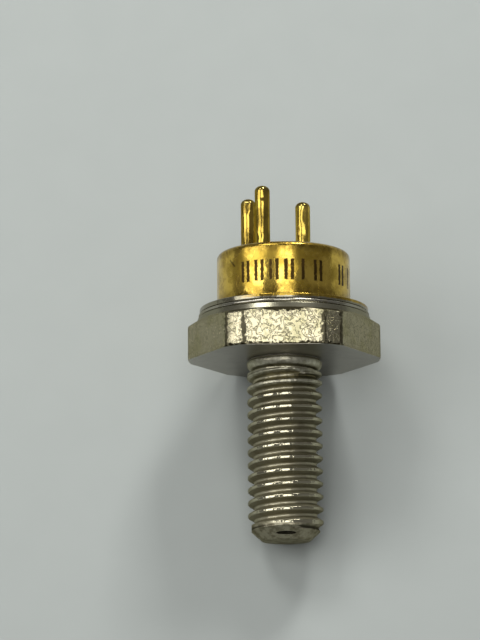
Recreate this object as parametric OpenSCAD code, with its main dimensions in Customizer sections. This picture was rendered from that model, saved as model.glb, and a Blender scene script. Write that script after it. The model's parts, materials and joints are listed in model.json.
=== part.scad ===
// Stud-mounted power transistor with three electrodes isolated from its base.
// A one-piece copper base and stud carries an insulating disc, the chip and its leads.
// A ring, a flanged cap and a ceramic top with three pins seal them in.
// Lengths are in millimetres. Along the axis of the device, z = 0 is the seat, the
// stud lies below it and the pins stand above it. The device lies on one flat of its
// hexagon and on the end of its thread, as it comes to rest on a bench.

/* [Hexagon] */
// Distance across the flats
hex_af = 11; // [9:0.1:14]
// How far each corner is turned down from a sharp hexagon
corner_cut = 0.32; // [0.1:0.02:0.6]
// Height of the middle of each flat above the seat
flat_h = 2.3; // [1.5:0.02:4]
// How much lower the turned corners end
corner_drop = 0.16; // [0.02:0.02:0.3]
// Height of the round tapered step above the flats
step_h = 0.36; // [0.1:0.02:0.8]
// How far the top of that step lies inside the flats
step_inset = 0.1; // [0.02:0.01:0.3]

/* [Stud] */
// Length of the stud below the seat
stud_len = 11.35; // [8:0.05:16]
// Diameter over the crests of the thread
thread_d = 4.69; // [4:0.01:6]
// Turns of thread in one inch
threads_per_inch = 32; // [24:1:40]
// Width of the flat on each crest
crest_w = 0.16; // [0.05:0.01:0.2]
// Width of the flat in each root
root_w = 0.16; // [0.05:0.01:0.2]
// Length of the plain collar under the seat
collar_len = 0.5; // [0.2:0.05:2]
// Grooves that run out shallow towards the collar
runout_turns = 1; // [1:1:3]
// Length of the bevel on the end of the stud
end_bevel_len = 0.75; // [0.3:0.05:1.5]
// Diameter of the flat end face
end_face_d = 3; // [2:0.1:3.6]

/* [Ring and cap] */
// Height of the ring between the base and the cap
ring_h = 0.29; // [0.2:0.01:0.8]
// How far the ring lies inside the round step
ring_inset = 0.05; // [0.02:0.01:0.3]
// Bevel on both outer edges of the ring
ring_bevel = 0.06; // [0.02:0.01:0.1]
// How far the brim of the cap lies inside the ring
brim_inset = 0.07; // [0.02:0.01:0.3]
// Thickness of the brim
brim_t = 0.3; // [0.1:0.01:0.4]
// Outer diameter of the cap
cap_d = 8.36; // [7.6:0.02:9]
// Height of the cap, brim included
cap_h = 3.83; // [3:0.05:5]
// Thickness of the cap's wall
cap_wall = 0.3; // [0.15:0.05:0.5]
// Radius of the cap's upper outer edge
cap_edge_r = 0.34; // [0.1:0.02:0.4]
// Width of the lip that is turned in over the ceramic
lip_w = 0.26; // [0.1:0.02:0.4]
// Thickness of that lip
lip_t = 0.25; // [0.1:0.05:0.5]

/* [Ceramic top and pins] */
// Thickness of the ceramic top
top_t = 0.9; // [0.5:0.05:1.5]
// Diameter of each pin
pin_d = 0.94; // [0.76:0.01:1.17]
// Diameter of the circle that the pins stand on
pin_circle_d = 5.08; // [4.7:0.02:5.4]
// How far the pins stand above the cap
pin_proj = 3.94; // [2:0.02:6]
// Height of the domed tip of each pin
pin_dome_h = 0.36; // [0.1:0.02:0.45]
// Diameter of the shank that passes through the ceramic
shank_d = 0.6; // [0.4:0.02:0.7]
// How far each shank reaches below the ceramic
shank_proj = 0.25; // [0.1:0.05:0.6]
// Width of the braze ring around the foot of each pin
braze_w = 0.24; // [0.1:0.02:0.4]
// Height of the braze ring
braze_h = 0.12; // [0.05:0.01:0.15]

/* [Inside] */
// Diameter of the insulating disc
disc_d = 6.4; // [6:0.1:7]
// Thickness of the insulating disc
disc_t = 0.75; // [0.5:0.05:1.2]
// Thickness of the metal pads on the disc
pad_t = 0.1; // [0.05:0.01:0.2]
// Width of the pad that carries the chip
collector_pad_w = 1.7; // [1.4:0.05:2]
// Width of the emitter and base pads
small_pad_w = 1.4; // [1:0.05:1.6]
// Gap between the chip's pad and the other two
pad_gap = 0.4; // [0.2:0.05:0.5]
// Margin of each pad beyond the pin above it
pad_margin = 0.35; // [0.3:0.05:0.4]
// Side of the square chip
die_w = 1.3; // [0.8:0.05:1.4]
// Thickness of the chip
die_t = 0.2; // [0.1:0.02:0.4]
// Width of the straps that join the pins to the pads
strap_w = 0.5; // [0.3:0.05:0.8]
// Thickness of those straps
strap_t = 0.15; // [0.1:0.01:0.3]
// Length of each strap's foot on its pad
foot_len = 0.5; // [0.3:0.05:0.7]
// Diameter of the bond wires
wire_d = 0.08; // [0.04:0.01:0.12]
// Distance from the edge of the chip or pad to the end of a wire
wire_in = 0.25; // [0.1:0.01:0.35]
// Distance between neighbouring bond wires
wire_step = 0.3; // [0.15:0.01:0.4]

/* [Hidden] */
$fn = 96;

// Hexagon
flat_r = hex_af / 2;
corner_r = flat_r / cos(30) - corner_cut;
corner_h = flat_h - corner_drop;
step_r = flat_r - step_inset;
base_top = flat_h + step_h;

// Stud
thread_r = thread_d / 2;
pitch = 25.4 / threads_per_inch;
thread_depth = (pitch - crest_w - root_w) / 2 / tan(30);
thread_end = stud_len - end_bevel_len;
groove_count = floor((thread_end - collar_len) / pitch);

// Ring, cap and ceramic
cap_r = cap_d / 2;
cap_bore_r = cap_r - cap_wall;
ring_r = step_r - ring_inset;
ring_top = base_top + ring_h;
brim_r = ring_r - brim_inset;
cap_top = ring_top + cap_h;
lip_r = cap_bore_r - lip_w;
ceramic_top = cap_top - lip_t;
ceramic_bottom = ceramic_top - top_t;

// Pins, on three corners of a square, with the fourth corner empty
pin_r = pin_d / 2;
pin_circle_r = pin_circle_d / 2;
pin_len = cap_top + pin_proj - ceramic_top;
collector_angle = 60;
base_angle = collector_angle + 90;
emitter_angle = base_angle + 90;

// Inside
disc_top = base_top + disc_t;
pad_top = disc_top + pad_t;
die_top = pad_top + die_t;
pad_outer = pin_circle_r + pad_margin;
pad_inner = collector_pad_w / 2 + pad_gap;
shank_end = ceramic_bottom - shank_proj;
wire_from = die_w / 2 - wire_in;
wire_to = pad_inner + wire_in;

// The device leans from the level of its hexagon's edge down to the end of its thread
rest_tilt = atan((flat_r - thread_r) / thread_end);

module as_it_lies() rotate([rest_tilt - 90, 0, 0]) children();

// Points along an arc about [x, y], from angle a0 to a1, on half axes rx and ry
function arc(x, y, rx, ry, a0, a1, steps = 8) =
    [for (i = [0:steps]) let (a = a0 + (a1 - a0) * i / steps) [x + rx * cos(a), y + ry * sin(a)]];

// The hexagon, with its corners, its shoulder and the tapered step turned on a lathe
module hexagon() intersection() {
    cylinder(r = flat_r / cos(30), h = base_top, $fn = 6);
    rotate_extrude() polygon([
        [0, 0], [corner_r, 0], [corner_r, corner_h], [flat_r, flat_h],
        [step_r, base_top], [0, base_top]
    ]);
}

// One groove of the thread as four points, where share is its part of the full depth
function groove(z, share) =
    let (depth = thread_depth * share, half = root_w / 2 + depth * tan(30))
    [[thread_r, z + half], [thread_r - depth, z + root_w / 2],
     [thread_r - depth, z - root_w / 2], [thread_r, z - half]];

// The stud, with its thread as rings of the true form; it starts inside the hexagon
module stud() {
    rotate_extrude() polygon(concat(
        [[0, flat_h / 2], [thread_r, flat_h / 2]],
        [for (i = [0:groove_count - 1])
            each groove(-thread_end + (groove_count - i - 0.5) * pitch,
                        min(1, (i + 1) / (runout_turns + 1)))],
        [[thread_r, -thread_end], [end_face_d / 2, -stud_len], [0, -stud_len]]
    ));
}

module base_stud() color("silver") as_it_lies() {
    hexagon();
    stud();
}

module weld_ring() color("gainsboro") as_it_lies()
    translate([0, 0, base_top]) rotate_extrude() polygon([
        [cap_bore_r, 0], [ring_r - ring_bevel, 0], [ring_r, ring_bevel],
        [ring_r, ring_h - ring_bevel],
        [ring_r - ring_bevel, ring_h], [cap_bore_r, ring_h]
    ]);

module cap_shell() color("goldenrod") as_it_lies()
    rotate_extrude() polygon(concat(
        [[cap_bore_r, ring_top], [brim_r, ring_top], [brim_r, ring_top + brim_t],
         [cap_r, ring_top + brim_t]],
        arc(cap_r - cap_edge_r, cap_top - cap_edge_r, cap_edge_r, cap_edge_r, 0, 90),
        [[lip_r, cap_top], [lip_r, ceramic_top], [cap_bore_r, ceramic_top]]
    ));

// Puts its children on the pin circle at an angle
module at_pin(angle) rotate([0, 0, angle]) translate([pin_circle_r, 0, 0]) children();

module top_ceramic() color("white") as_it_lies() difference() {
    translate([0, 0, ceramic_bottom]) cylinder(r = cap_bore_r, h = top_t);
    for (a = [collector_angle, base_angle, emitter_angle])
        at_pin(a) translate([0, 0, ceramic_bottom - top_t / 2])
            cylinder(d = shank_d, h = 2 * top_t);
}

module braze_rings() color("gold") as_it_lies()
    for (a = [collector_angle, base_angle, emitter_angle])
        at_pin(a) translate([0, 0, ceramic_top]) rotate_extrude() polygon([
            [pin_r, 0], [pin_r + braze_w, 0], [pin_r + braze_w / 3, braze_h], [pin_r, braze_h]
        ]);

// A pin that stands on the ceramic, with a thinner shank through it and a domed tip
module pin(angle) as_it_lies() at_pin(angle) translate([0, 0, ceramic_top])
    rotate_extrude() polygon(concat(
        [[0, shank_end - ceramic_top], [shank_d / 2, shank_end - ceramic_top],
         [shank_d / 2, 0], [pin_r, 0]],
        arc(0, pin_len - pin_dome_h, pin_r, pin_dome_h, 0, 90)
    ));

module collector_pin() color("gold") pin(collector_angle);
module base_pin() color("gold") pin(base_angle);
module emitter_pin() color("gold") pin(emitter_angle);

module insulator_disc() color("ivory") as_it_lies()
    translate([0, 0, base_top]) cylinder(d = disc_d, h = disc_t);

// A flat pad on the disc, from a distance off the axis out to below its pin
module pad(angle, from, width) as_it_lies() rotate([0, 0, angle])
    translate([from, -width / 2, disc_top]) cube([pad_outer - from, width, pad_t]);

module collector_pad() color("khaki") pad(collector_angle, -collector_pad_w / 2, collector_pad_w);
module base_pad() color("khaki") pad(base_angle, pad_inner, small_pad_w);
module emitter_pad() color("khaki") pad(emitter_angle, pad_inner, small_pad_w);

module silicon_die() color("slategray") as_it_lies() rotate([0, 0, collector_angle])
    translate([-die_w / 2, -die_w / 2, pad_top]) cube([die_w, die_w, die_t]);

// A folded strap with a foot on its pad, a riser and a tab under the pin's shank
module strap(angle) as_it_lies() rotate([0, 0, angle])
    translate([pin_circle_r, strap_w / 2, pad_top]) rotate([90, 0, 0])
        linear_extrude(strap_w) {
            rise = shank_end - pad_top;
            translate([-foot_len, 0]) square([foot_len + strap_t / 2, strap_t]);
            translate([-strap_t / 2, 0]) square([strap_t, rise]);
            translate([-shank_d / 2, rise - strap_t]) square([shank_d, strap_t]);
        }

module collector_strap() color("gold") strap(collector_angle);
module base_strap() color("gold") strap(base_angle);
module emitter_strap() color("gold") strap(emitter_angle);

// Looped wires, side by side, from the top of the chip to the pad at this angle
module wires(angle, count) {
    loop_r = (wire_to - wire_from) / 2;
    as_it_lies() rotate([0, 0, angle])
        for (i = [0:count - 1])
            translate([wire_from + loop_r, (i - (count - 1) / 2) * wire_step, die_top]) {
                rotate([90, 0, 0]) rotate_extrude(angle = 180)
                    translate([loop_r, 0]) circle(d = wire_d, $fn = 24);
                translate([loop_r, 0, -die_t]) cylinder(d = wire_d, h = die_t, $fn = 24);
            }
}

module base_wires() color("silver") wires(base_angle, 2);
module emitter_wires() color("silver") wires(emitter_angle, 3);

base_stud();
weld_ring();
cap_shell();
top_ceramic();
braze_rings();
collector_pin();
base_pin();
emitter_pin();
insulator_disc();
collector_pad();
base_pad();
emitter_pad();
silicon_die();
collector_strap();
base_strap();
emitter_strap();
base_wires();
emitter_wires();
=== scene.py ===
# %% [markdown]
# # A power transistor on a threaded stud
#
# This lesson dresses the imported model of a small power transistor. On the real object a
# copper hexagon and its stud are turned from one bar and plated with nickel. A nickel ring
# and a gold-plated cap are welded on top, and three gold-plated pins stand on a ceramic lid.
#
# The device lies on a bench, on one flat of its hexagon and on the end of its thread.
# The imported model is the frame: every piece made here takes its place from it.

# %% Load the frame
import math

import bmesh
import bpy
from mathutils import Euler, Matrix, Vector
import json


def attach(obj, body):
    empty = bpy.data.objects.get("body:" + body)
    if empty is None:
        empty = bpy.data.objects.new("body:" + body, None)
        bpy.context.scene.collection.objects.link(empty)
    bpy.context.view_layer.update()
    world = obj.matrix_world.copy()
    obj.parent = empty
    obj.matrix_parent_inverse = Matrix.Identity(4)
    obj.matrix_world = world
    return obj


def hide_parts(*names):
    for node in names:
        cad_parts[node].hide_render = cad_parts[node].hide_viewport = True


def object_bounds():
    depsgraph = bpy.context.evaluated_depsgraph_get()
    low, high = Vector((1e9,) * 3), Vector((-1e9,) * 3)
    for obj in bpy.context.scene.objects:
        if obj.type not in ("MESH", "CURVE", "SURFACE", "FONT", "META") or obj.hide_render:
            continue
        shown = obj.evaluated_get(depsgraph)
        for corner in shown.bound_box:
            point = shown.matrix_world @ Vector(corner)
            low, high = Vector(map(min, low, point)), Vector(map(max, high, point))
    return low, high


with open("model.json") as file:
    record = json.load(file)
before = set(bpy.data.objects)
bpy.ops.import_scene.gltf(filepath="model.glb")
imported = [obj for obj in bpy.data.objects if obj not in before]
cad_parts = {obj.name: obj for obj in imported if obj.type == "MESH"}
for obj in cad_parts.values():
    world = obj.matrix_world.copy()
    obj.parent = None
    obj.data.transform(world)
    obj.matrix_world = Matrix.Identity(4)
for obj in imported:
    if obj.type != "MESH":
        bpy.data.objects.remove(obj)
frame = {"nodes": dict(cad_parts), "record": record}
nodes = frame["nodes"]
cad_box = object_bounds()
print("CAD nodes:", len(nodes))

# %% [markdown]
# ## Working upright, in millimetres
#
# A turned part is easiest to model standing on its own axis, and a part this small is
# easiest to read in millimetres. So each piece is modelled upright, with the seat of the
# hexagon at height 0, the stud below and the pins above. At the end it is scaled to metres
# and laid down as the device lies. The direction of the stud in the record gives the turn.

# %% Find how the device lies
MM = 0.001
mounts = {mount["name"]: mount for mount in frame["record"]["mounts"]}
pin_direction = -Vector(mounts["stud"]["axis"])
rest_turn = -math.acos(pin_direction.z)
to_row = Matrix.Rotation(rest_turn, 4, "X") @ Matrix.Scale(MM, 4)
to_device = to_row.inverted()


def reach(node):
    """How far a CAD node reaches along the device's axis and away from it, in millimetres."""
    points = [to_device @ vertex.co for vertex in nodes[node].data.vertices]
    heights = [point.z for point in points]
    radii = [math.hypot(point.x, point.y) for point in points]
    return min(heights), max(heights), min(radii), max(radii)


print("turn about X:", round(math.degrees(rest_turn), 3))

# %% [markdown]
# ## Sizes
#
# What the frame shows is measured from it. The rest are the part's own driving dimensions,
# in millimetres.

# %% Read the levels and radii of the pieces
stud_end, base_top, _, corner_r = reach("base_stud")
ring_low, ring_top, bore_r, ring_r = reach("weld_ring")
_, cap_top, lip_r, brim_r = reach("cap_shell")
_, lid_top, _, _ = reach("top_ceramic")
shank_low, pin_top, _, _ = reach("collector_pin")
thread_r = mounts["stud"]["dims"]["r_mm"]
thread_end = -mounts["stud"]["dims"]["length_mm"]
pin_r = mounts["collector_pin"]["dims"]["r_mm"]
print("heights:", [round(h, 3) for h in (stud_end, base_top, ring_top, lid_top, cap_top, pin_top)])
print("radii:", [round(r, 3) for r in (corner_r, ring_r, brim_r, bore_r, lip_r, thread_r, pin_r)])

# Hexagon
flat_r = 5.5
flat_h = 2.3
corner_h = 2.14
step_r = 5.4
step_edge = 0.05
seat_edge = 0.16
land_edge = 0.12
# Stud
pitch = 25.4 / 32
crest_w = 0.16
root_w = 0.16
end_face_r = 1.5
# Cap
cap_r = 4.18
cap_edge_r = 0.34
brim_t = 0.3
# Pins
shank_r = 0.3
pin_dome_h = 0.36
braze_w = 0.24
braze_h = 0.12

# %% [markdown]
# ## Hands
#
# A few helpers do what the hands do in Blender: deselect everything, pick faces by their
# place, turn an outline, run a modifier, cut one solid with another.

# %% Helpers for selecting and shaping


def only(piece):
    """Selects this piece alone and makes it the active one."""
    bpy.ops.object.select_all(action="DESELECT")
    piece.select_set(True)
    bpy.context.view_layer.objects.active = piece


def pick(kind, test):
    """In edit mode, selects the vertices, edges or faces that pass the test."""
    bpy.ops.mesh.select_mode(type=kind)
    bpy.ops.mesh.select_all(action="DESELECT")
    mesh = bmesh.from_edit_mesh(bpy.context.edit_object.data)
    for part in {"VERT": mesh.verts, "EDGE": mesh.edges, "FACE": mesh.faces}[kind]:
        if test(part):
            part.select_set(True)
    mesh.select_flush_mode()
    bmesh.update_edit_mesh(bpy.context.edit_object.data)


def tidy_mesh(piece, gap):
    """Merges vertices closer than the gap and turns all faces outwards."""
    only(piece)
    bpy.ops.object.mode_set(mode="EDIT")
    bpy.ops.mesh.select_all(action="SELECT")
    bpy.ops.mesh.remove_doubles(threshold=gap)
    bpy.ops.mesh.normals_make_consistent(inside=False)
    bpy.ops.object.mode_set(mode="OBJECT")


def use_modifier(piece, kind, **values):
    """Adds a modifier with these values and applies it."""
    only(piece)
    modifier = piece.modifiers.new(kind.lower(), kind)
    for name, value in values.items():
        setattr(modifier, name, value)
    bpy.ops.object.modifier_apply(modifier=modifier.name)


def combine(piece, other, operation):
    """Joins or cuts the piece with another solid, which is used up."""
    use_modifier(piece, "BOOLEAN", operation=operation, object=other, solver="EXACT")
    bpy.data.objects.remove(other)


def arc(centre_r, centre_z, radius_r, radius_z, start, end, steps):
    """Points (radius, height) along an arc, between two angles in degrees."""
    angles = [math.radians(start + (end - start) * i / steps) for i in range(steps + 1)]
    return [(centre_r + radius_r * math.cos(a), centre_z + radius_z * math.sin(a)) for a in angles]


# %% [markdown]
# ## Turning an outline
#
# A lathe gives the round pieces. Spin would do, but it leaves a seam and a pole to close.
# Here a cone primitive is the first cut, and its top face is extruded and resized along the
# rest of the outline, so the solid stays closed all the way. A piece with a hole is extruded
# back down inside, and its two open loops are bridged at the bottom.

# %% A helper that turns an outline


def turned(name, outline, sides=192, hollow=False):
    """A solid with this outline of (radius, height) points around the device's axis."""
    (low_r, low_z), (high_r, high_z) = outline[:2]
    bpy.ops.object.select_all(action="DESELECT")
    bpy.ops.mesh.primitive_cone_add(
        vertices=sides,
        radius1=low_r,
        radius2=high_r,
        depth=high_z - low_z,
        location=(0, 0, (low_z + high_z) / 2),
    )
    piece = bpy.context.object
    piece.name = name
    bpy.ops.object.transform_apply(location=True, rotation=True, scale=True)
    bpy.ops.object.mode_set(mode="EDIT")
    pick("FACE", lambda face: len(face.verts) == sides and face.normal.z > 0)
    for (from_r, from_z), (to_r, to_z) in zip(outline[1:], outline[2:]):
        bpy.ops.mesh.extrude_region_move(TRANSFORM_OT_translate={"value": (0, 0, to_z - from_z)})
        ratio = to_r / from_r
        bpy.ops.transform.resize(value=(ratio, ratio, 1), center_override=(0, 0, to_z))
    if hollow:
        bpy.ops.mesh.delete(type="ONLY_FACE")
        pick("FACE", lambda face: len(face.verts) == sides)
        bpy.ops.mesh.delete(type="ONLY_FACE")
        bpy.ops.mesh.select_mode(type="EDGE")
        bpy.ops.mesh.select_non_manifold()
        bpy.ops.mesh.bridge_edge_loops()
    bpy.ops.object.mode_set(mode="OBJECT")
    tidy_mesh(piece, 1e-4)
    return piece


# %% [markdown]
# ## Finishing a piece
#
# Smooth shading by angle keeps real edges sharp, and weighted normals keep the large flats
# flat between their small bevels. Then the piece is scaled to metres, laid down, and its
# place is put into its mesh, so that its object sits unturned at the origin.

# %% A helper that finishes a piece


def finish_piece(piece, replaced, smooth_angle=40):
    """Shades the piece, lays it down as the device lies, hangs it under the root, and hides the CAD
    nodes it replaces.
    """
    only(piece)
    bpy.ops.object.shade_smooth_by_angle(angle=math.radians(smooth_angle))
    use_modifier(piece, "WEIGHTED_NORMAL", keep_sharp=True, weight=60)
    only(piece)
    piece.scale = (MM, MM, MM)
    piece.rotation_euler = (rest_turn, 0, 0)
    bpy.ops.object.transform_apply(location=True, rotation=True, scale=True)
    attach(piece, "root")
    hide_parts(*replaced)
    print(piece.name, "has", len(piece.data.polygons), "faces")


# %% [markdown]
# ## The hexagon
#
# The real base starts as hexagon bar. The lathe takes its corners down, slopes the shoulder
# and turns the tapered step above it. So it is made the same way here: a six-sided bar is
# intersected with a turned blank, and the curved upper edges of the flats come by
# themselves. The upright edges are bevelled wider than the rest, as tumbling leaves them.

# %% Model the hexagon
bpy.ops.object.select_all(action="DESELECT")
bpy.ops.mesh.primitive_cylinder_add(
    vertices=6,
    radius=flat_r / math.cos(math.radians(30)),
    depth=base_top,
    location=(0, 0, base_top / 2),
    rotation=(0, 0, math.radians(30)),
)
base = bpy.context.object
base.name = "hexagon_and_stud"
bpy.ops.object.transform_apply(location=True, rotation=True, scale=True)
blank = turned(
    "turned_blank",
    [(corner_r - seat_edge - 1, -1)]
    + arc(corner_r - seat_edge, seat_edge, seat_edge, seat_edge, -45, 0, 4)
    + arc(corner_r - land_edge, corner_h - land_edge, land_edge, land_edge, 0, 60, 3)
    + [(flat_r, flat_h)]
    + arc(step_r - step_edge, base_top - step_edge, step_edge, step_edge, 15, 85, 4)
    + [(step_r - 2 * step_edge, base_top + 0.5)],
    sides=288,
)
combine(base, blank, "INTERSECT")

upright_bevel = 0.15
other_bevel = 0.03
only(base)
bpy.ops.object.mode_set(mode="EDIT")


def is_upright_corner(edge):
    """Whether this edge stands between a flat and a turned corner."""
    rise = abs(edge.verts[0].co.z - edge.verts[1].co.z)
    return rise > 1 and edge.calc_face_angle(0) > 0.3


pick("EDGE", is_upright_corner)
bpy.ops.mesh.bevel(offset=upright_bevel, segments=4, affect="EDGES")
bpy.ops.object.mode_set(mode="OBJECT")
use_modifier(base, "BEVEL", width=other_bevel, segments=2, limit_method="ANGLE", angle_limit=0.3)
print("hexagon faces:", len(base.data.polygons))

# %% [markdown]
# ## The thread
#
# The stud has a 32 turns per inch thread with 60 degree flanks. Rings would look right from
# far away only, because a real thread climbs. One pitch of the true outline, with a round
# root and slightly rounded crests, goes through a Screw modifier that lifts it by one pitch
# a turn. The outline itself is drawn by extruding a single vertex.

# %% Draw one pitch of the thread
flank = math.radians(30)
thread_depth = (pitch - crest_w - root_w) / 2 / math.tan(flank)
root_r = thread_r - thread_depth
root_round = root_w / 2 / math.tan(flank)
crest_round = 0.06
crest_bend = pitch / 2 - crest_w / 2 + crest_round * math.tan(flank)
root_arc = [(root_r + root_round - r, z) for r, z in arc(0, 0, root_round, root_round, 0, 60, 4)]
crest_arc = arc(thread_r - crest_round, crest_bend, crest_round, crest_round, -60, 0, 3)
flank_steps = 4
flank_points = [
    tuple(a + (b - a) * i / flank_steps for a, b in zip(root_arc[-1], crest_arc[0]))
    for i in range(1, flank_steps)
]
half_pitch = root_arc + flank_points + crest_arc + [(thread_r, pitch / 2)]
one_pitch = half_pitch + [(r, pitch - z) for r, z in half_pitch[-2::-1]]
print("thread depth:", round(thread_depth, 3), "points in a pitch:", len(one_pitch))

# %% Wind the thread
crest_height = -2.264  # of one crest, on the +X side
turns_below = 13
turns = 17
thread_low = crest_height + pitch / 2 - turns_below * pitch
bpy.ops.object.select_all(action="DESELECT")
bpy.ops.mesh.primitive_plane_add(size=1, location=(0, 0, 0))
stud = bpy.context.object
stud.name = "wound_thread"
bpy.ops.object.mode_set(mode="EDIT")
bpy.ops.mesh.select_all(action="SELECT")
bpy.ops.mesh.merge(type="CENTER")
bpy.ops.mesh.select_mode(type="VERT")
bpy.ops.mesh.select_all(action="SELECT")
bpy.ops.transform.translate(value=(one_pitch[0][0], 0, thread_low))
for (from_r, from_z), (to_r, to_z) in zip(one_pitch, one_pitch[1:]):
    step = (to_r - from_r, 0, to_z - from_z)
    bpy.ops.mesh.extrude_vertices_move(TRANSFORM_OT_translate={"value": step})
bpy.ops.object.mode_set(mode="OBJECT")
use_modifier(
    stud,
    "SCREW",
    axis="Z",
    angle=math.tau,
    screw_offset=pitch,
    iterations=turns,
    steps=120,
    render_steps=120,
    use_merge_vertices=False,
)
tidy_mesh(stud, 1e-3)
print("thread from", round(thread_low, 3), "in", turns, "turns")

# %% [markdown]
# ## Where the thread runs out
#
# Near the hexagon the die is drawn back, so the last groove ends. Each vertex belongs to
# the groove nearest to it, and the height of that groove's root says how far the die has
# been drawn back there. The vertex moves out by that much and stops at the plain radius.
# Below the root this comes a third of a turn later, which leaves a small shoulder. The
# first groove, at the end of the stud, starts shallow in the same way, and the crest
# beside it is worn lower.

# %% Draw back the die
runout_from = -1.25
runout_to = -1.2
lower_delay = 0.26
lead_in_from = -10.85
lead_in_to = -10.38
lead_in_most = 0.8
worn_from = -10.4
worn_to = -10.6
worn_depth = 0.22
land_r = thread_r - 0.03
for vertex in stud.data.vertices:
    x, y, z = vertex.co
    radius = math.hypot(x, y)
    turn = math.atan2(y, x) / math.tau % 1
    groove = round((z - thread_low) / pitch - turn)
    groove_z = thread_low + (groove + turn) * pitch
    passed = groove_z - (lower_delay if z < groove_z else 0)
    drawn = (passed - runout_from) / (runout_to - runout_from)
    led_in = (lead_in_to - groove_z) / (lead_in_to - lead_in_from)
    share = min(1, max(0, drawn, min(led_in, lead_in_most)))
    drawn_back = thread_depth * share**2
    limit = land_r if z > runout_from + pitch / 4 else thread_r
    moved = min(max(limit, radius if share == 0 else 0), radius + drawn_back)
    crest_z = groove_z + math.copysign(pitch / 2, z - groove_z)
    worn = min(1, max(0, (worn_from - crest_z) / (worn_from - worn_to)))
    scale = min(moved, thread_r - worn_depth * worn) / radius if worn else moved / radius
    vertex.co = (x * scale, y * scale, z)
print("the last groove ends at", runout_from, "and the first begins at", lead_in_from)

# %% [markdown]
# ## The end of the stud, the collar and the join
#
# Both ends of the wound thread are bisected flat and filled. An envelope with the bevel of
# the stud's end trims it. Under the hexagon a plain sleeve fills the grooves, and one
# turned cut shapes it: a short neck, a rounded collar and the groove below the collar.
# A flattened sphere cuts the nick in the bevelled end. Then the stud is joined to the
# hexagon: the real part is one piece of metal.

# %% Trim the stud


def cut_flat(piece, height, keep_above):
    """Cuts the piece level at a height, keeps one side and closes the cut."""
    only(piece)
    bpy.ops.object.mode_set(mode="EDIT")
    bpy.ops.mesh.select_all(action="SELECT")
    bpy.ops.mesh.bisect(
        plane_co=(0, 0, height),
        plane_no=(0, 0, 1),
        use_fill=True,
        clear_inner=keep_above,
        clear_outer=not keep_above,
    )
    bpy.ops.object.mode_set(mode="OBJECT")


spare_below = 0.3
cut_flat(stud, stud_end - spare_below, True)
cut_flat(stud, flat_h / 3, False)
tidy_mesh(stud, 1e-4)
bevel_slope = (thread_r - end_face_r) / (thread_end - stud_end)
envelope_clear = 0.2
envelope_r = thread_r + envelope_clear
envelope = turned(
    "stud_envelope",
    [
        (end_face_r, stud_end),
        (envelope_r, thread_end + envelope_clear / bevel_slope),
        (envelope_r, flat_h),
    ],
    sides=120,
)
combine(stud, envelope, "INTERSECT")
print("faces of the trimmed stud:", len(stud.data.polygons))

# %% Turn the collar and the neck
collar_low = -0.7
collar_mid = -0.3
collar_high = -0.14
collar_edge = 0.04
groove_low = collar_low - 0.07
slope_low = collar_low - 0.18
groove_r = root_r + 0.03
neck_r = thread_r - 0.12
cut_r = 2 * thread_r
cut_top = 1.1
sleeve = turned("sleeve", [(thread_r, collar_low - 0.1), (thread_r, 1)])
combine(stud, sleeve, "UNION")
undercut = turned(
    "cut_under_the_seat",
    [
        (groove_r, groove_low),
        (groove_r, collar_low),
        (thread_r - 0.22, collar_low + 0.07),
        (thread_r - 0.1, collar_low + 0.17),
        (thread_r - 0.03, collar_low + 0.28),
        (thread_r, collar_mid),
        (thread_r, collar_high - collar_edge),
        (thread_r - collar_edge, collar_high),
        (neck_r, collar_high),
        (neck_r, cut_top),
        (cut_r, cut_top),
        (cut_r, slope_low),
        (thread_r, slope_low),
    ],
    hollow=True,
)
combine(stud, undercut, "DIFFERENCE")
print("collar from", collar_low, "to", collar_high)

# %% Cut the nick and join the stud to the hexagon
nick_place = (0.02, -1.9, -11.05)
nick_size = (0.82, 0.3, 0.1)
bpy.ops.object.select_all(action="DESELECT")
bpy.ops.mesh.primitive_uv_sphere_add(
    segments=32, ring_count=16, radius=1, location=nick_place, scale=nick_size
)
nick = bpy.context.object
nick.name = "nick_at_the_end"
bpy.ops.object.transform_apply(location=True, rotation=True, scale=True)
combine(stud, nick, "DIFFERENCE")
combine(base, stud, "UNION")
tidy_mesh(base, 1e-4)
finish_piece(base, ["base_stud"])

# %% [markdown]
# ## The ring and the cap
#
# The ring between the hexagon and the cap has a rounded outer face, so that it mirrors a
# lamp as one thin line and lies in shadow at both of its joints.
# The cap is drawn from thin sheet: a brim for the weld, a small fillet, a straight wall, a
# rounded rim, and a lip turned in over the ceramic lid.

# %% Model the ring
ring_round = 0.2
ring_bulge = 75
ring_mid = (ring_low + ring_top) / 2
ring_half = (ring_top - ring_low) / 2
ring_rise = ring_half / math.sin(math.radians(ring_bulge))
ring = turned(
    "nickel_ring",
    [(ring_r - ring_round, ring_low)]
    + arc(ring_r - ring_round, ring_mid, ring_round, ring_rise, -ring_bulge, ring_bulge, 14)
    + [(ring_r - ring_round, ring_top), (bore_r, ring_top), (bore_r, ring_low)],
    hollow=True,
)
finish_piece(ring, ["weld_ring"])

# %% Model the cap
brim_top = ring_top + brim_t
brim_edge = 0.05
foot_fillet = 0.12
lip_edge = 0.05
cap = turned(
    "gold_cap",
    [(brim_r - brim_edge, ring_top)]
    + arc(brim_r - brim_edge, ring_top + brim_edge, brim_edge, brim_edge, -70, 0, 4)
    + arc(brim_r - brim_edge, brim_top - brim_edge, brim_edge, brim_edge, 0, 90, 4)
    + arc(cap_r + foot_fillet, brim_top + foot_fillet, foot_fillet, foot_fillet, 270, 180, 5)
    + arc(cap_r - cap_edge_r, cap_top - cap_edge_r, cap_edge_r, cap_edge_r, 0, 90, 10)
    + arc(lip_r + lip_edge, cap_top - lip_edge, lip_edge, lip_edge, 90, 180, 3)
    + [(lip_r, lid_top), (bore_r, lid_top), (bore_r, ring_top)],
    sides=256,
    hollow=True,
)
finish_piece(cap, ["cap_shell"])

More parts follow.
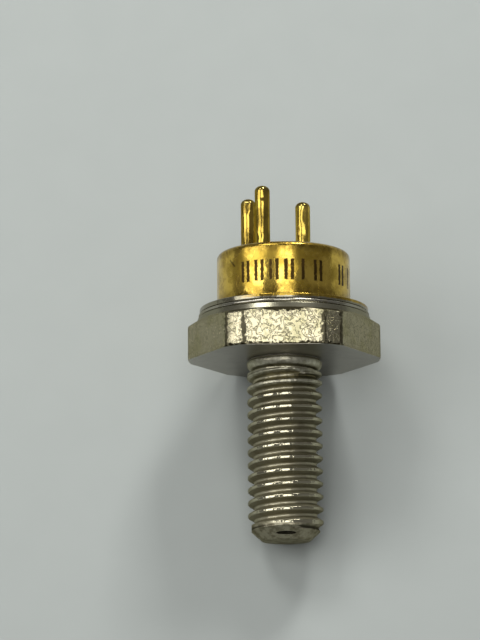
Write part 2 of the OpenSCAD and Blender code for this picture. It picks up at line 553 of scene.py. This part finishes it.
# %% [markdown]
# ## The pins
#
# A pin stands on the ceramic lid, with a thinner shank through it and a domed tip. It is
# turned once on the axis, copied for each pin, and moved over its place on the lid, which
# the record gives. A ring of braze lies round its foot, and the three rings are one piece.

# %% Model the pins and their braze
pin_names = ["collector_pin", "base_pin", "emitter_pin"]
pin_places = {name: to_device @ Vector(mounts[name]["pos_m"]) for name in pin_names}


def copied_to(piece, name, place):
    """A copy of the piece, with its own mesh, over a place on the lid."""
    only(piece)
    bpy.ops.object.duplicate(linked=False)
    twin = bpy.context.object
    twin.name = name
    twin.location = (place.x, place.y, 0)
    bpy.ops.object.transform_apply(location=True, rotation=True, scale=True)
    return twin


dome_low = pin_top - pin_dome_h
one_pin = turned(
    "one_pin",
    [(shank_r, shank_low), (shank_r, lid_top), (pin_r, lid_top)]
    + arc(0, dome_low, pin_r, pin_dome_h, 0, 84, 10),
    sides=96,
)
one_braze = turned(
    "one_braze",
    [(pin_r + braze_w, lid_top)]
    + arc(pin_r + braze_w, lid_top + braze_h, braze_w * 0.8, braze_h * 0.9, 260, 180, 5)
    + [(pin_r, lid_top + braze_h), (pin_r, lid_top)],
    sides=96,
    hollow=True,
)
brazes = []
for name, place in pin_places.items():
    pin = copied_to(one_pin, "gold_" + name, place)
    finish_piece(pin, [name])
    brazes.append(copied_to(one_braze, "braze_of_" + name, place))
only(brazes[0])
for braze in brazes:
    braze.select_set(True)
bpy.ops.object.join()
brazes[0].name = "braze_fillets"
finish_piece(brazes[0], ["braze_rings"])
bpy.data.objects.remove(one_pin)
bpy.data.objects.remove(one_braze)

# %% [markdown]
# ## Helpers for materials
#
# Patterns are drawn in the device's own millimetres. Object coordinates are in metres and
# lie along the bench, so a Mapping node scales them and stands them upright again.

# %% Helpers that add nodes


def add(tree, kind, inputs, **settings):
    """Adds a shader node. Inputs are given by name or number, as values or as sockets."""
    node = tree.nodes.new("ShaderNode" + kind)
    for name, value in settings.items():
        setattr(node, name, value)
    for name, value in inputs.items():
        if isinstance(value, bpy.types.NodeSocket):
            tree.links.new(value, node.inputs[name])
        else:
            node.inputs[name].default_value = value
    return node


def maths(tree, operation, *values):
    """The result of a Math node."""
    return add(tree, "Math", dict(enumerate(values)), operation=operation).outputs[0]


def remap(tree, value, low, high, to_low=0.0, to_high=1.0):
    """Turns the range low to high into another range, with soft ends."""
    inputs = {0: value, 1: low, 2: high, 3: to_low, 4: to_high}
    return add(tree, "MapRange", inputs, interpolation_type="SMOOTHSTEP").outputs[0]


def blend_values(tree, share, first, second):
    """Goes from the first value to the second as the share goes from 0 to 1."""
    return add(tree, "Mix", {0: share, 2: first, 3: second}).outputs[0]


def blend_colours(tree, share, first, second):
    """Goes from the first colour to the second as the share goes from 0 to 1."""
    return add(tree, "Mix", {0: share, 6: first, 7: second}, data_type="RGBA").outputs[2]


def upright(tree, scale=(1, 1, 1)):
    """Object coordinates in the upright device's millimetres, times a scale."""
    place = add(tree, "TexCoord", {}).outputs["Object"]
    turn = add(tree, "Mapping", {0: place, "Scale": (1000, 1000, 1000)})
    turn.inputs["Rotation"].default_value = Euler((-rest_turn, 0, 0))
    return add(tree, "Mapping", {0: turn.outputs[0], "Scale": scale}).outputs[0]


def new_material(name):
    """A material with its node tree and its Principled shader."""
    material = bpy.data.materials.new(name)
    material.use_nodes = True
    tree = material.node_tree
    return material, tree, tree.nodes["Principled BSDF"]


def new_group(name, inputs, outputs):
    """A shader node group. Inputs are (name, value), outputs are names of values."""
    group = bpy.data.node_groups.new(name, "ShaderNodeTree")
    group.interface.new_socket(name="Place", in_out="INPUT", socket_type="NodeSocketVector")
    for label, value in inputs:
        socket = group.interface.new_socket(
            name=label, in_out="INPUT", socket_type="NodeSocketFloat"
        )
        socket.default_value = value
    for label in outputs:
        group.interface.new_socket(name=label, in_out="OUTPUT", socket_type="NodeSocketFloat")
    start = group.nodes.new("NodeGroupInput").outputs
    end = group.nodes.new("NodeGroupOutput").inputs
    return group, start, end


def use_group(tree, group, place, **values):
    """Places a node group in a tree and returns its outputs."""
    node = tree.nodes.new("ShaderNodeGroup")
    node.node_tree = group
    tree.links.new(place, node.inputs["Place"])
    for name, value in values.items():
        socket = node.inputs[name.replace("_", " ")]
        if isinstance(value, bpy.types.NodeSocket):
            tree.links.new(value, socket)
        else:
            socket.default_value = value
    return node.outputs


# %% [markdown]
# ## Shared effects
#
# Three effects are used by more than one finish, so each is a node group: a crinkled grain
# as on plated rough metal, soft blotches as of tarnish and handling, and fine scratches.

# %% The crinkled grain
crinkle, start, end = new_group("crinkle", [("Size", 0.25)], ["Height", "Crease"])
tree = crinkle
per_mm = maths(tree, "DIVIDE", 1.0, start["Size"])
folds = add(
    tree,
    "TexNoise",
    {0: start["Place"], "Scale": per_mm, "Detail": 3.0, "Roughness": 0.6, "Distortion": 0.9},
).outputs[0]
fold_depth = maths(tree, "ABSOLUTE", maths(tree, "SUBTRACT", folds, 0.5))
crease = remap(tree, fold_depth, 0.0, 0.045, 1.0, 0.0)
finer = maths(tree, "MULTIPLY", per_mm, 2.3)
specks = add(tree, "TexNoise", {0: start["Place"], "Scale": finer, "Detail": 2.0}).outputs[0]
height = maths(tree, "MULTIPLY_ADD", specks, 0.06, maths(tree, "MULTIPLY", folds, 0.22))
height = maths(tree, "MULTIPLY_ADD", crease, -0.17, height)
tree.links.new(height, end["Height"])
tree.links.new(crease, end["Crease"])
print("nodes of the crinkle:", len(crinkle.nodes))

# %% The soft blotches
blotches, start, end = new_group("blotches", [("Size", 1.0), ("Cover", 0.5)], ["Mask"])
tree = blotches
per_mm = maths(tree, "DIVIDE", 1.0, start["Size"])
cloud = add(
    tree, "TexNoise", {0: start["Place"], "Scale": per_mm, "Detail": 4.0, "Roughness": 0.65}
).outputs[0]
edge = remap(tree, start["Cover"], 0.0, 1.0, 0.72, 0.28)
mask = remap(tree, maths(tree, "SUBTRACT", cloud, edge), -0.08, 0.1)
tree.links.new(mask, end["Mask"])
print("nodes of the blotches:", len(blotches.nodes))

# %% The fine scratches
scratches, start, end = new_group("scratches", [("Size", 0.4), ("Width", 0.01)], ["Mask"])
tree = scratches
per_mm = maths(tree, "DIVIDE", 1.0, start["Size"])
lines = []
for turn_x, turn_z in [(0.4, 0.7), (-0.9, -0.5)]:
    swept = add(tree, "Mapping", {0: start["Place"], "Scale": (1, 0.07, 1)})
    swept.inputs["Rotation"].default_value = Euler((turn_x, 0.3, turn_z))
    streak = add(tree, "TexNoise", {0: swept.outputs[0], "Scale": per_mm, "Detail": 1.0})
    distance = maths(tree, "ABSOLUTE", maths(tree, "SUBTRACT", streak.outputs[0], 0.5))
    lines.append(maths(tree, "LESS_THAN", distance, start["Width"]))
tree.links.new(maths(tree, "MAXIMUM", *lines), end["Mask"])
print("node groups:", [group.name for group in bpy.data.node_groups])

# %% [markdown]
# ## Nickel on the hexagon and the stud
#
# Matt nickel over rough turned and milled copper is not smooth: its flats are crinkled like
# foil, and they glitter. The seat is finer, and the stud has small dents instead. One
# material does it all, with masks that find each place by its height, its distance from the
# axis and its angle around it. The same masks find the edges of the walls, which are painted
# dark and ragged on the near side, as shade. Painted shade also darkens the creases of the
# flats, with some dirt, the flanks of the thread, the neck under the seat and the nick, and
# the crests and roots of the thread are painted lighter, as a highlight.

# %% The nickel of the base: its patterns
nickel, tree, shader = new_material("nickel_of_base")
place = upright(tree)
axes = add(tree, "SeparateXYZ", {0: place}).outputs
level = add(tree, "CombineXYZ", {0: axes[0], 1: axes[1]}).outputs[0]
radius = add(tree, "VectorMath", {0: level}, operation="LENGTH").outputs["Value"]
ragged = add(tree, "TexNoise", {0: place, "Scale": 5.0, "Detail": 3.0}).outputs[0]
height_z = maths(tree, "MULTIPLY_ADD", maths(tree, "SUBTRACT", ragged, 0.5), 0.6, axes[2])
tarnish = use_group(tree, blotches, place, Size=1.4, Cover=0.45)[0]
mottle = use_group(tree, blotches, place, Size=0.45, Cover=0.5)[0]
grain = use_group(tree, crinkle, place, Size=0.4)
dents = add(tree, "TexNoise", {0: place, "Scale": 3.0, "Detail": 2.0}).outputs[0]
print("patterns of the base:", len(tree.nodes), "nodes")

# %% Masks of the walls of the hexagon and their edges, painted dark as shade
corner_angle = math.acos(flat_r / corner_r)
around = maths(tree, "ARCTAN2", axes[0], maths(tree, "MULTIPLY", axes[1], -1.0))
on_walls = remap(tree, axes[2], 0.005, 0.02)
above_seat = remap(tree, height_z, 0.08, 0.15)
below_step = remap(tree, height_z, flat_h - 0.22, flat_h - 0.14, 1.0, 0.0)
on_flats = maths(tree, "MULTIPLY", above_seat, below_step)
on_step = remap(tree, axes[2], flat_h + 0.02, flat_h + 0.05)
near_step = remap(tree, radius, flat_r + 0.1, flat_r + 0.3, 1.0, 0.0)
low_edge = maths(tree, "MULTIPLY", on_walls, maths(tree, "SUBTRACT", 1.0, above_seat))
top_edge = maths(tree, "MULTIPLY", near_step, maths(tree, "SUBTRACT", 1.0, below_step))
folded = maths(tree, "PINGPONG", around, math.radians(30))
from_corner = maths(tree, "ABSOLUTE", maths(tree, "SUBTRACT", folded, corner_angle))
from_corner = maths(tree, "MULTIPLY_ADD", ragged, math.radians(6), from_corner)
at_corner = remap(tree, from_corner, math.radians(3.9), math.radians(4.7), 0.85, 0.0)
at_corner = maths(tree, "MULTIPLY", at_corner, on_walls)
edges = maths(tree, "MAXIMUM", maths(tree, "MAXIMUM", low_edge, top_edge), at_corner)
off_near = maths(tree, "ABSOLUTE", around)
# Only the near side gets the painted edge shade.
on_near_side = remap(tree, off_near, math.radians(36), math.radians(40), 1.0, 0.2)
edges = maths(tree, "MULTIPLY", edges, on_near_side)
print("a corner stands", round(math.degrees(corner_angle), 1), "degrees from a flat's middle")

# %% Masks of the stud
off_stud = remap(tree, axes[2], -0.03, -0.01)
on_neck = remap(tree, axes[2], collar_high - 0.01, collar_high + 0.02)
runout_low = -2.02
on_runout = remap(tree, axes[2], runout_low, runout_low + 0.1)
on_crest = remap(tree, radius, thread_r - 0.08, thread_r - 0.03)
in_root = remap(tree, radius, root_r + 0.02, root_r + 0.07, 1.0, 0.0)
off_flank = maths(tree, "MAXIMUM", on_crest, in_root)
on_end = remap(tree, axes[2], thread_end - 0.05, thread_end + 0.1, 1.0, 0.0)
below_thread = remap(tree, axes[2], thread_end + 0.1, thread_end + 0.15, 1.0, 0.0)
bevel_r = maths(tree, "MULTIPLY_ADD", axes[2], bevel_slope, end_face_r - stud_end * bevel_slope)
in_nick = remap(tree, maths(tree, "SUBTRACT", bevel_r, radius), 0.02, 0.07)
in_nick = maths(tree, "MULTIPLY", in_nick, remap(tree, axes[2], stud_end + 0.03, stud_end + 0.06))
in_nick = maths(tree, "MULTIPLY", in_nick, on_end)
on_land = remap(tree, radius, thread_r - 0.2, thread_r - 0.12)
on_land = maths(tree, "MULTIPLY", on_runout, on_land)
above_groove = remap(tree, axes[2], collar_low - 0.04, collar_low)
on_land = maths(tree, "MAXIMUM", on_land, above_groove)
print("with its masks:", len(tree.nodes), "nodes")

# %% Relief: creases on the walls, dents on the stud
coarse = maths(tree, "MULTIPLY", grain["Height"], on_flats)
dent_depth = blend_values(tree, off_stud, 1.1, 0.1)
dent_depth = maths(tree, "MULTIPLY_ADD", on_end, 1.4, dent_depth)
relief = maths(tree, "MULTIPLY_ADD", dents, dent_depth, coarse)
bump = add(tree, "Bump", {"Height": relief, "Distance": 0.00005, "Strength": 1.0})
tree.links.new(bump.outputs[0], shader.inputs["Normal"])
print("relief of the base: dents", dents.node.inputs["Scale"].default_value, "to the millimetre")

# %% Colours, from the end of the stud up
# The flanks of the thread are painted darker, as shade in the grooves; the crests and roots are
# painted lighter, as a highlight along them.
flank_shade_tone = blend_colours(tree, tarnish, (0.265, 0.246, 0.168, 1), (0.222, 0.203, 0.134, 1))
crest_and_root_highlight_tone = blend_colours(tree, tarnish, (0.46, 0.43, 0.31, 1), (0.39, 0.36, 0.26, 1))
end_tone = blend_colours(tree, mottle, (0.35, 0.325, 0.235, 1), (0.2, 0.18, 0.12, 1))
collar_tone = blend_colours(tree, mottle, (0.52, 0.5, 0.39, 1), (0.36, 0.34, 0.25, 1))
seat_tone = blend_colours(tree, tarnish, (0.38, 0.36, 0.305, 1), (0.34, 0.32, 0.27, 1))
flat_tone = blend_colours(tree, tarnish, (0.385, 0.35, 0.235, 1), (0.34, 0.312, 0.185, 1))
colour = blend_colours(tree, off_flank, flank_shade_tone, crest_and_root_highlight_tone)
# The end of the stud has its own mottled tone, which also paints the last groove lighter against
# its shade.
colour = blend_colours(tree, below_thread, colour, end_tone)
# The nick is painted nearly black inside, as painted shade.
colour = blend_colours(tree, in_nick, colour, (0.05, 0.045, 0.03, 1))
colour = blend_colours(tree, on_land, colour, collar_tone)
# The neck under the seat is painted dark, as painted shade under the hexagon.
colour = blend_colours(tree, on_neck, colour, (0.21, 0.195, 0.13, 1))
colour = blend_colours(tree, off_stud, colour, seat_tone)
colour = blend_colours(tree, on_walls, colour, flat_tone)
# Painted shade with some dirt: the creases of the flats are darkened.
crease_dirt_and_shade = maths(tree, "MULTIPLY", grain["Crease"], maths(tree, "MULTIPLY", on_flats, 0.3))
colour = blend_colours(tree, crease_dirt_and_shade, colour, (0.14, 0.125, 0.06, 1))
# Painted shade: the edges and upright corners of the walls go nearly black on the near side.
colour = blend_colours(tree, edges, colour, (0.035, 0.03, 0.016, 1))
colour = blend_colours(tree, on_step, colour, (0.27, 0.255, 0.185, 1))
tree.links.new(colour, shader.inputs["Base Color"])
tint = blend_colours(tree, off_stud, (0.6, 0.58, 0.48, 1), (0.95, 0.95, 0.95, 1))
tint = blend_colours(tree, on_walls, tint, (0.7, 0.68, 0.6, 1))
tree.links.new(tint, shader.inputs["Specular Tint"])
shader.inputs["Metallic"].default_value = 1.0
print("colours of the base mixed")

# %% Roughness, from the end of the stud up
roughness = blend_values(tree, in_root, 0.62, 0.44)
roughness = blend_values(tree, on_crest, roughness, 0.13)
roughness = blend_values(tree, on_runout, roughness, 0.38)
roughness = blend_values(tree, below_thread, roughness, 0.5)
roughness = blend_values(tree, on_neck, roughness, 0.6)
roughness = blend_values(tree, off_stud, roughness, 0.32)
roughness = blend_values(tree, on_walls, roughness, remap(tree, tarnish, 0.0, 1.0, 0.18, 0.26))
roughness = blend_values(tree, edges, roughness, 0.5)
roughness = blend_values(tree, on_step, roughness, 0.26)
tree.links.new(roughness, shader.inputs["Roughness"])
base.data.materials.append(nickel)
print(nickel.name, "has", len(tree.nodes), "nodes")

# %% The nickel of the ring
ring_nickel, tree, shader = new_material("nickel_of_ring")
place = upright(tree)
grain = use_group(tree, crinkle, place, Size=0.9)
tarnish = use_group(tree, blotches, place, Size=0.8, Cover=0.4)[0]
bump = add(tree, "Bump", {"Height": grain["Height"], "Distance": 0.00001, "Strength": 1.0})
tree.links.new(bump.outputs[0], shader.inputs["Normal"])
colour = blend_colours(tree, tarnish, (0.37, 0.35, 0.29, 1), (0.25, 0.23, 0.17, 1))
tree.links.new(colour, shader.inputs["Base Color"])
tree.links.new(remap(tree, tarnish, 0.0, 1.0, 0.2, 0.32), shader.inputs["Roughness"])
shader.inputs["Metallic"].default_value = 1.0
shader.inputs["Specular Tint"].default_value = (0.65, 0.63, 0.55, 1)
ring.data.materials.append(ring_nickel)
print(ring_nickel.name, "has", len(tree.nodes), "nodes")

# %% [markdown]
# ## Gold on the cap, with its printed marks
#
# The cap is bright gold over drawn metal, so it mirrors its surroundings with a gentle
# wave. It is darker towards the rim and the brim, and on one side the brim has lost its gold.
# Old ink marks run round it. They are plain bars in groups, without any meaning. Each is a
# box in angle and height around the axis, its edge roughened by noise, so one small node
# group draws them all. One slanting scratch lies beside them.

# %% One printed block
ink_block, start, end = new_group(
    "ink_block",
    [("Angle", 0.0), ("Height", 0.0), ("Across", 0.3), ("Tall", 0.6), ("Wobble", 0.0)],
    ["Mask"],
)
tree = ink_block
spot = add(tree, "SeparateXYZ", {0: start["Place"]}).outputs
negative_y = maths(tree, "MULTIPLY", spot[1], -1.0)
around = maths(tree, "MULTIPLY", maths(tree, "ARCTAN2", spot[0], negative_y), cap_r)
centre = maths(tree, "MULTIPLY", maths(tree, "RADIANS", start["Angle"]), cap_r)
side = maths(tree, "ABSOLUTE", maths(tree, "SUBTRACT", around, centre))
rise = maths(tree, "ABSOLUTE", maths(tree, "SUBTRACT", spot[2], start["Height"]))
outside_side = maths(tree, "SUBTRACT", side, start["Across"])
outside_rise = maths(tree, "SUBTRACT", rise, start["Tall"])
outside = maths(tree, "ADD", maths(tree, "MAXIMUM", outside_side, outside_rise), start["Wobble"])
tree.links.new(remap(tree, outside, -0.02, 0.03, 1.0, 0.0), end["Mask"])
print("nodes of one bar:", len(ink_block.nodes))

# %% The gold of the cap: its patterns
gold, tree, shader = new_material("gold_of_cap")
place = upright(tree)
tarnish = use_group(tree, blotches, place, Size=1.5, Cover=0.5)[0]
spots = use_group(tree, blotches, place, Size=0.5, Cover=0.35)[0]
mottle = use_group(tree, blotches, place, Size=0.28, Cover=0.5)[0]
scratch = use_group(tree, scratches, place, Size=2.4, Width=0.001)[0]
wave = add(tree, "TexNoise", {0: place, "Scale": 0.75, "Detail": 1.5}).outputs[0]
pits = add(tree, "TexNoise", {0: place, "Scale": 4.0, "Detail": 2.0}).outputs[0]
edge_noise = add(tree, "TexNoise", {0: place, "Scale": 7.0, "Detail": 2.0}).outputs[0]
wobble = maths(tree, "MULTIPLY", maths(tree, "SUBTRACT", edge_noise, 0.5), 0.14)
print("patterns of the cap:", len(tree.nodes), "nodes")

# %% The printed bars
mark_height = (brim_top + cap_top) / 2 - 0.05
mark_tall = 0.66
bar_across = 0.1
bar_gap = 0.4
marks = [
    # angle of the middle from the near side in degrees, number of bars
    (-34, 2),
    (-21, 2),
    (-8, 2),
    (5, 2),
    (17, 1),
    (31, 2),
    (59, 2),
    (74, 1),
]
ink = None
for angle, bars in marks:
    for bar in range(bars):
        shift = (bar - (bars - 1) / 2) * bar_gap
        block = use_group(
            tree,
            ink_block,
            place,
            Angle=angle + math.degrees(shift / cap_r),
            Height=mark_height,
            Across=bar_across,
            Tall=mark_tall,
            Wobble=wobble,
        )[0]
        ink = block if ink is None else maths(tree, "MAXIMUM", ink, block)
worn = remap(tree, pits, 0.24, 0.34, 0.7, 1.0)
ink = maths(tree, "MULTIPLY", ink, worn)
print("groups of bars:", len(marks))

# %% Relief, bare brim, darkening towards the ends and the old scratch
relief = maths(tree, "MULTIPLY_ADD", pits, 0.1, wave)
relief = maths(tree, "MULTIPLY_ADD", scratch, -0.02, relief)
bump = add(tree, "Bump", {"Height": relief, "Distance": 0.0001, "Strength": 1.0})
tree.links.new(bump.outputs[0], shader.inputs["Normal"])
axes = add(tree, "SeparateXYZ", {0: place}).outputs
around = maths(tree, "ARCTAN2", axes[0], maths(tree, "MULTIPLY", axes[1], -1.0))
ragged_z = maths(tree, "ADD", axes[2], wobble)
on_brim = remap(tree, ragged_z, brim_top, brim_top + 0.04, 1.0, 0.0)
brim_edge_low = remap(tree, ragged_z, ring_top + 0.1, ring_top + 0.14, 1.0, 0.0)
on_left = remap(tree, axes[0], -3.0, -1.4, 1.0, 0.0)
on_left = maths(tree, "MULTIPLY", on_left, remap(tree, axes[1], 0.5, 2.5, 1.0, 0.0))
bare = maths(tree, "MAXIMUM", brim_edge_low, maths(tree, "MULTIPLY", on_brim, on_left))
clean = blend_colours(tree, tarnish, (0.76, 0.53, 0.1, 1), (0.46, 0.31, 0.045, 1))
clean = blend_colours(tree, maths(tree, "MULTIPLY", spots, 0.6), clean, (0.36, 0.22, 0.035, 1))
near_brim = remap(tree, ragged_z, brim_top + 0.3, brim_top + 1.1)
near_rim = remap(tree, ragged_z, cap_top - 0.75, cap_top - 0.35, 1.0, 0.0)
darker_towards_ends = maths(tree, "SUBTRACT", 1.0, maths(tree, "MULTIPLY", near_brim, near_rim))
darker_towards_ends = maths(tree, "MULTIPLY", darker_towards_ends, maths(tree, "MULTIPLY_ADD", mottle, 0.45, 0.55))
clean = blend_colours(tree, darker_towards_ends, clean, (0.27, 0.175, 0.028, 1))
clean = blend_colours(tree, bare, clean, (0.27, 0.25, 0.18, 1))
scratch_angle = 49  # degrees to the left of the near side
scratch_height = 5.67
across = maths(tree, "MULTIPLY_ADD", around, cap_r, math.radians(scratch_angle) * cap_r)
along = maths(tree, "SUBTRACT", axes[2], scratch_height)
off_line = maths(tree, "ABSOLUTE", maths(tree, "ADD", maths(tree, "ADD", across, along), wobble))
from_middle = maths(tree, "ABSOLUTE", maths(tree, "SUBTRACT", across, along))
narrow = remap(tree, off_line, 0.03, 0.1, 0.8, 0.0)
old_scratch = maths(tree, "MULTIPLY", narrow, remap(tree, from_middle, 0.4, 0.6, 1.0, 0.0))
dark = maths(tree, "MAXIMUM", ink, old_scratch)
colour = blend_colours(tree, dark, clean, (0.06, 0.036, 0.01, 1))
tree.links.new(colour, shader.inputs["Base Color"])
roughness = remap(tree, tarnish, 0.0, 1.0, 0.17, 0.28)
roughness = maths(tree, "MULTIPLY_ADD", ink, 0.25, roughness)
tree.links.new(roughness, shader.inputs["Roughness"])
shader.inputs["Metallic"].default_value = 1.0
cap.data.materials.append(gold)
print(gold.name, "has", len(tree.nodes), "nodes")

# %% [markdown]
# ## Gold on the pins and the inner parts
#
# The pins are drawn wire, plated in a barrel with the rest: fine lines run along them and
# the plating is duller. The noise is squeezed along the axis, so its spots become streaks.
# The pin on the right has kept more of its shine than the other two.

# %% The gold of the pins
pin_gold, tree, shader = new_material("gold_of_pins")
place = upright(tree)
streaks = add(tree, "TexNoise", {0: upright(tree, (1, 1, 0.15)), "Scale": 3.0, "Detail": 1.0})
dents = add(tree, "TexNoise", {0: place, "Scale": 1.2, "Detail": 1.0}).outputs[0]
tarnish = use_group(tree, blotches, place, Size=1.2, Cover=0.5)[0]
relief = maths(tree, "MULTIPLY_ADD", streaks.outputs[0], 0.6, dents)
bump = add(tree, "Bump", {"Height": relief, "Distance": 0.00012, "Strength": 1.0})
tree.links.new(bump.outputs[0], shader.inputs["Normal"])
dull = blend_colours(tree, tarnish, (0.47, 0.325, 0.06, 1), (0.27, 0.185, 0.034, 1))
bright = blend_colours(tree, tarnish, (0.8, 0.58, 0.13, 1), (0.5, 0.36, 0.07, 1))
axes = add(tree, "SeparateXYZ", {0: place}).outputs
colour = blend_colours(tree, remap(tree, axes[0], 0.0, 0.6), dull, bright)
# The domed tips are painted dark as shade, in place of the highlights the lamps give them.
tip_shade = remap(tree, axes[2], pin_top - 0.5, pin_top - 0.2)
colour = blend_colours(tree, tip_shade, colour, (0.26, 0.2, 0.06, 1))
tree.links.new(colour, shader.inputs["Base Color"])
tree.links.new(remap(tree, tarnish, 0.0, 1.0, 0.12, 0.24), shader.inputs["Roughness"])
shader.inputs["Metallic"].default_value = 1.0
shader.inputs["Specular Tint"].default_value = (0.55, 0.45, 0.3, 1)
for name in pin_names:
    bpy.data.objects["gold_" + name].data.materials.append(pin_gold)
brazes[0].data.materials.append(pin_gold)
print(pin_gold.name, "has", len(tree.nodes), "nodes")

# %% [markdown]
# ## The lid and what is sealed inside
#
# The lid is white fired ceramic. Inside are a second ceramic disc, gold pads and straps,
# the chip and its wires. They keep their CAD meshes, because their shapes are right, and
# each gets a finish of its own.

# %% Finishes of the CAD nodes


def plain_finish(name, first, second, rough, metallic, size, depth):
    """A finish with two mixed tones, a range of roughness and a slight relief."""
    material, tree, shader = new_material(name)
    place = upright(tree)
    mask = use_group(tree, blotches, place, Size=size, Cover=0.5)[0]
    relief = use_group(tree, crinkle, place, Size=size / 3)["Height"]
    bump = add(tree, "Bump", {"Height": relief, "Distance": depth * MM, "Strength": 1.0})
    tree.links.new(bump.outputs[0], shader.inputs["Normal"])
    tree.links.new(blend_colours(tree, mask, first, second), shader.inputs["Base Color"])
    tree.links.new(remap(tree, mask, 0.0, 1.0, *rough), shader.inputs["Roughness"])
    shader.inputs["Metallic"].default_value = metallic
    return material


ceramic = plain_finish(
    "white_ceramic", (0.78, 0.77, 0.72, 1), (0.7, 0.68, 0.62, 1), (0.42, 0.55), 0.0, 0.6, 0.004
)
inner_gold = plain_finish(
    "inner_gold", (0.9, 0.63, 0.2, 1), (0.78, 0.52, 0.15, 1), (0.25, 0.35), 1.0, 0.8, 0.004
)
silicon = plain_finish(
    "silicon_chip", (0.2, 0.21, 0.25, 1), (0.16, 0.17, 0.21, 1), (0.12, 0.2), 0.6, 0.3, 0.001
)
bond_wire = plain_finish(
    "bond_wire", (0.78, 0.78, 0.79, 1), (0.7, 0.7, 0.72, 1), (0.2, 0.3), 1.0, 0.2, 0.001
)
finishes = {
    "top_ceramic": ceramic,
    "insulator_disc": ceramic,
    "collector_pad": inner_gold,
    "base_pad": inner_gold,
    "emitter_pad": inner_gold,
    "collector_strap": inner_gold,
    "base_strap": inner_gold,
    "emitter_strap": inner_gold,
    "silicon_die": silicon,
    "base_wires": bond_wire,
    "emitter_wires": bond_wire,
}
for name, material in finishes.items():
    nodes[name].data.materials.clear()
    nodes[name].data.materials.append(material)
print("CAD nodes with a finish:", len(finishes))

# %% [markdown]
# ## Floor, light and camera
#
# The bench is a plain pale sheet. A long soft lamp hangs overhead and a broad one stands on
# the left, as a window would. Two small lamps behind the device light the flanks of the
# thread. A grey world fills in between them, and metal needs it: what is not mirrored from
# a lamp is mirrored from there.

# %% The floor
floor_z = cad_box[0][2]
bpy.ops.object.select_all(action="DESELECT")
bpy.ops.mesh.primitive_plane_add(size=3, location=(0, 0, floor_z))
floor = bpy.context.object
floor.name = "bench"
paper, tree, shader = new_material("pale_bench")
place = upright(tree)
cloud = add(tree, "TexNoise", {0: place, "Scale": 0.02, "Detail": 2.0}).outputs[0]
fibres = add(tree, "TexNoise", {0: place, "Scale": 0.35, "Detail": 5.0}).outputs[0]
mix = maths(tree, "MULTIPLY_ADD", maths(tree, "SUBTRACT", fibres, 0.5), 1.2, cloud)
colour = blend_colours(tree, mix, (0.387, 0.414, 0.393, 1), (0.369, 0.395, 0.375, 1))
tree.links.new(colour, shader.inputs["Base Color"])
shader.inputs["Roughness"].default_value = 0.8
floor.data.materials.append(paper)
print("bench at", round(floor_z / MM, 2), "mm")

# %% The lamps and the world
aim = to_row @ Vector((-2.752, 0, 2.631))
lamp_distance = 0.3


def lamp(name, place, across, along, watts):
    """A soft rectangular lamp that looks at the device. Its long side runs away from us."""
    direction = Vector(place).normalized()
    bpy.ops.object.light_add(type="AREA", location=aim + direction * lamp_distance)
    light = bpy.context.object
    light.name = name
    look = -direction
    side = Vector((0, 1, 0)).cross(look).normalized()
    light.rotation_euler = Matrix((side, (-look).cross(side), -look)).transposed().to_euler()
    light.data.shape = "RECTANGLE"
    light.data.size = across
    light.data.size_y = along
    light.data.energy = watts


lamp("overhead_lamp", (0.037, -0.255, 1), across=0.137, along=0.2, watts=0.27)
lamp("left_lamp", (-0.74, -0.01, 0.665), across=0.168, along=0.18, watts=0.3)
lamp("rear_right_lamp", (0.277, 0.8, 0.533), across=0.07, along=0.07, watts=0.55)
lamp("rear_left_lamp", (-0.378, 0.574, 0.727), across=0.09, along=0.09, watts=0.26)
world = bpy.data.worlds.new("grey_room")
bpy.context.scene.world = world
world.use_nodes = True
world.node_tree.nodes["Background"].inputs["Color"].default_value = (0.19, 0.19, 0.19, 1)
bpy.context.scene.view_settings.view_transform = "Standard"
print("watts of light in all:", round(sum(light.energy for light in bpy.data.lights), 2))

# %% The camera


def toward(azimuth, elevation):
    """A direction, with azimuth 0 towards the camera's side and positive to the right."""
    across, up = math.radians(azimuth), math.radians(elevation)
    return Vector((math.sin(across) * math.cos(up), -math.cos(across) * math.cos(up), math.sin(up)))


camera_distance = 0.18287
camera_turn = 1.94
camera_height = 61.86
camera_roll = -2.32
camera_lens = 163.95
sensor_width = 36
back = toward(camera_turn, camera_height)
bpy.ops.object.camera_add(location=aim + back * camera_distance)
camera = bpy.context.object
camera.data.lens = camera_lens
camera.data.sensor_width = sensor_width
look = (-back).to_track_quat("-Z", "Y").to_matrix().to_4x4()
spin = Matrix.Rotation(math.radians(camera_roll), 4, "Z")
camera.matrix_world = Matrix.Translation(camera.location) @ look @ spin
bpy.context.scene.camera = camera
camera.data.clip_start = 0.01
print("camera at", [round(value, 4) for value in camera.location])

# %% Finish
import json
